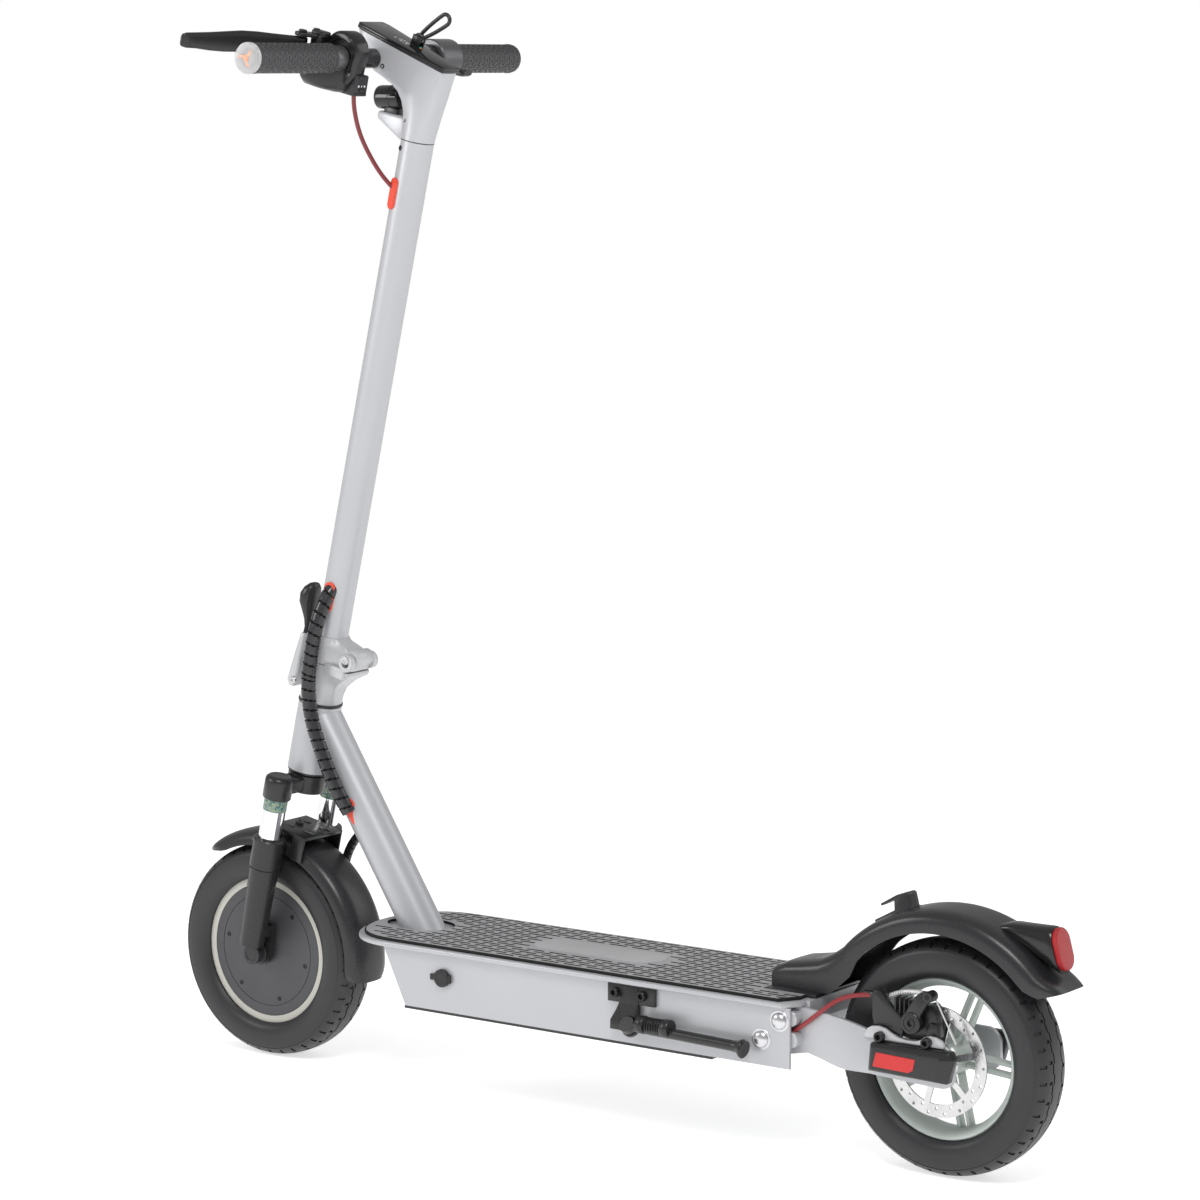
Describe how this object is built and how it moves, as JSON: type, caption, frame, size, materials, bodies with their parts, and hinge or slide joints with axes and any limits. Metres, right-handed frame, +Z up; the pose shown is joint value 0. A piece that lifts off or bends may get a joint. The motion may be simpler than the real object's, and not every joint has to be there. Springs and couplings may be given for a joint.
{
  "type": "folding electric kick scooter",
  "caption": "Folding two-wheeled kick scooter with a front hub motor, sprung fork, rear disc brake, standing deck, side stand and T-shaped steering column.",
  "frame": {"origin": "middle of the whole scooter's footprint, on the ground that the tyres stand on", "axes": "+X is the direction of travel, +Y the rider's left, +Z up"},
  "size_m": [1.198, 0.484, 1.2225],
  "materials": {
    "silver_paint": "satin",
    "grey_casting": "satin",
    "black_paint": "satin",
    "chrome": "gloss",
    "steel": "satin",
    "alloy": "satin",
    "motor_shell": "satin",
    "motor_core": "matt",
    "black_plastic": "matt",
    "gloss_black": "gloss",
    "red_lens": "gloss",
    "orange_plastic": "satin",
    "rubber": "matt",
    "tyre_rubber": "matt",
    "cable_red": "satin",
    "battery_wrap": "satin"
  },
  "bodies": {
    "frame": {"head_tube": "silver_paint", "down_tube": "silver_paint", "deck_box": "silver_paint", "deck_plate": "silver_paint", "deck_mat": "rubber", "bottom_cover": "black_plastic", "battery_pack": "battery_wrap", "down_tube_grommet": "orange_plastic", "rear_fork": "silver_paint", "dome_bolts": "chrome", "rear_fender": "black_plastic", "tail_light": "red_lens", "caliper_bracket": "grey_casting", "caliper_body": "black_paint", "socket_bolts": "black_paint", "rear_brake_cable": "cable_red", "axle_cover_left": "gloss_black", "axle_cover_right": "gloss_black", "rear_axle": "steel", "kickstand_bracket": "black_paint", "harness_lower": "black_plastic", "motor_lead": "black_plastic"},
    "rear_wheel": {"rear_tyre": "tyre_rubber", "rear_rim": "alloy", "brake_disc": "steel"},
    "caliper_lever": {"caliper_arm": "black_paint"},
    "kickstand": {"kickstand_leg": "black_paint"},
    "charge_cap": {"charge_cap": "rubber"},
    "fork": {"fork_crown": "black_paint", "stanchions": "chrome", "stem_base": "grey_casting", "fold_pin": "steel"},
    "lowers": {"fork_leg_left": "black_paint", "fork_leg_right": "black_paint", "front_axle": "steel", "front_fender": "black_plastic", "fender_bridge": "black_plastic", "motor_stator": "motor_core"},
    "front_wheel": {"front_tyre": "tyre_rubber", "front_rim": "alloy", "motor_cover": "motor_shell"},
    "latch": {"fold_latch": "grey_casting"},
    "stem": {"stem_sleeve": "grey_casting", "stem_tube": "silver_paint", "stem_grommets": "orange_plastic", "head_casting": "silver_paint", "display_panel": "gloss_black", "handlebar": "black_paint", "grips": "rubber", "left_housing": "black_plastic", "throttle_housing": "black_plastic", "lamp_bracket": "silver_paint", "headlight": "gloss_black", "lever_perch": "black_paint", "front_brake_cable": "cable_red", "harness_upper": "black_plastic"},
    "brake_lever": {"brake_lever": "black_paint"},
    "throttle": {"throttle_paddle": "black_plastic"},
    "signal_slider": {"signal_slider": "black_plastic"},
    "loop_hook": {"loop_hook": "black_paint"}
  },
  "joints": [
    {"name": "steering", "type": "hinge", "parent": "frame", "child": "fork", "pos_m": [0.41126, 0, 0.38803], "axis": [-0.2267, 0, 0.974], "range_deg": [-45, 45], "deforming": ["harness_lower", "motor_lead"]},
    {"name": "suspension", "type": "slide", "parent": "fork", "child": "lowers", "axis": [-0.2267, 0, 0.974], "range_m": [0, 0.03], "stiffness_N_per_m": 12000, "springref_m": -0.015},
    {"name": "front_wheel_spin", "type": "hinge", "parent": "lowers", "child": "front_wheel", "pos_m": [0.472, 0, 0.127], "axis": [0, 1, 0], "continuous": true},
    {"name": "rear_wheel_spin", "type": "hinge", "parent": "frame", "child": "rear_wheel", "pos_m": [-0.453, 0, 0.127], "axis": [0, 1, 0], "continuous": true},
    {"name": "stem_fold", "type": "hinge", "parent": "fork", "child": "stem", "pos_m": [0.3437, 0, 0.48422], "axis": [0, -1, 0], "range_deg": [0, 96], "deforming": ["harness_upper"]},
    {"name": "fold_latch_turn", "type": "hinge", "parent": "fork", "child": "latch", "pos_m": [0.43003, 0, 0.45297], "axis": [0, 1, 0], "range_deg": [0, 55]},
    {"name": "brake_lever_pull", "type": "hinge", "parent": "stem", "child": "brake_lever", "pos_m": [0.32493, 0.112, 1.19137], "axis": [-0.2267, 0, 0.974], "range_deg": [0, 18], "stiffness_Nm_per_rad": 1.2, "springref_deg": -17.19},
    {"name": "caliper_arm_turn", "type": "hinge", "parent": "frame", "child": "caliper_lever", "pos_m": [-0.436, 0.052, 0.171], "axis": [0, 1, 0], "range_deg": [0, 24]},
    {"name": "throttle_press", "type": "hinge", "parent": "stem", "child": "throttle", "pos_m": [0.29587, -0.103, 1.17197], "axis": [0, -1, 0], "range_deg": [0, 35], "stiffness_Nm_per_rad": 0.15, "springref_deg": -17.19},
    {"name": "kickstand_swing", "type": "hinge", "parent": "frame", "child": "kickstand", "pos_m": [-0.101, 0.093, 0.129], "axis": [0, -0.8192, -0.5736], "range_deg": [0, 105]},
    {"name": "charge_cap_open", "type": "hinge", "parent": "frame", "child": "charge_cap", "pos_m": [0.1525, 0.0816, 0.145], "axis": [0, 0, 1], "range_deg": [0, 95]},
    {"name": "signal_slide", "type": "slide", "parent": "stem", "child": "signal_slider", "axis": [0, 1, 0], "range_m": [-0.0035, 0.0035]},
    {"name": "loop_hook_turn", "type": "hinge", "parent": "stem", "child": "loop_hook", "pos_m": [0.25758, -0.014, 1.19418], "axis": [0, 1, 0], "range_deg": [-42, 40]}
  ],
  "couplings": [
    {"joint": "caliper_arm_turn", "follows": "brake_lever_pull", "ratio": 1.3}
  ]
}
